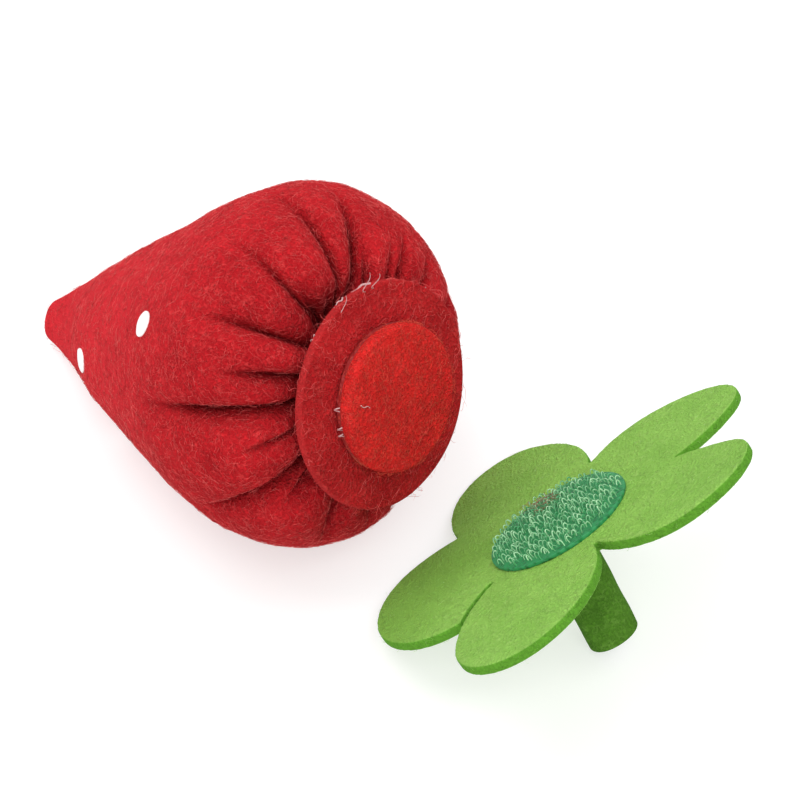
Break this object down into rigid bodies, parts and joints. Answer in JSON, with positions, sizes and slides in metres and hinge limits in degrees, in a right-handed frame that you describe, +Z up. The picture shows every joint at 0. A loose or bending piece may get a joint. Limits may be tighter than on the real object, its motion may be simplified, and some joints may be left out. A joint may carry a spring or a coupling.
{
  "type": "pincushion",
  "caption": "Strawberry-shaped stuffed felt pincushion lying on its side, with a leafy felt cap that fastens to its gathered end by round hook-and-loop discs.",
  "frame": {"origin": "point on the floor under the flat of the berry's belly, in the plane of the berry's axis", "axes": "+X runs along the berry from its tip to its gathered end, +Z is up and +Y follows by the right hand"},
  "size_m": [0.1175, 0.0599, 0.0472],
  "materials": {
    "red_felt": "matte fuzzy felt",
    "dark_red_felt": "matte fuzzy felt",
    "loop_tape": "brushed loop pile",
    "green_felt": "matte fuzzy felt",
    "stem_felt": "matte fuzzy felt",
    "hook_cloth": "woven tape",
    "hook_nylon": "clear tinted nylon",
    "seed_dot": "white matt",
    "glue": "clear hot glue",
    "thread": "twisted thread",
    "fibrefill": "loose white fibre"
  },
  "bodies": {
    "berry": {"berry_skin": "red_felt", "stuffing": "fibrefill", "side_seam": "red_felt", "seam_thread": "thread", "gathering_thread": "thread", "cover_glue": "glue", "cover_disc": "dark_red_felt", "loop_glue": "glue", "loop_backing": "loop_tape", "loop_pile": "loop_tape", "seed_1": "seed_dot", "seed_2": "seed_dot", "seed_3": "seed_dot", "seed_4": "seed_dot", "seed_5": "seed_dot", "seed_6": "seed_dot", "seed_7": "seed_dot", "seed_8": "seed_dot"},
    "cap": {"calyx": "green_felt", "hook_glue": "glue", "hook_backing": "hook_cloth", "hooks": "hook_nylon", "stem_glue": "glue", "stem": "stem_felt"}
  },
  "joints": [
    {"name": "cap_on_off", "type": "hinge", "parent": "berry", "child": "cap", "pos_m": [0.02828, -0.00155, 0.01049], "axis": [0.152, -0.976, -0.1562], "range_deg": [0, 71.43]}
  ]
}
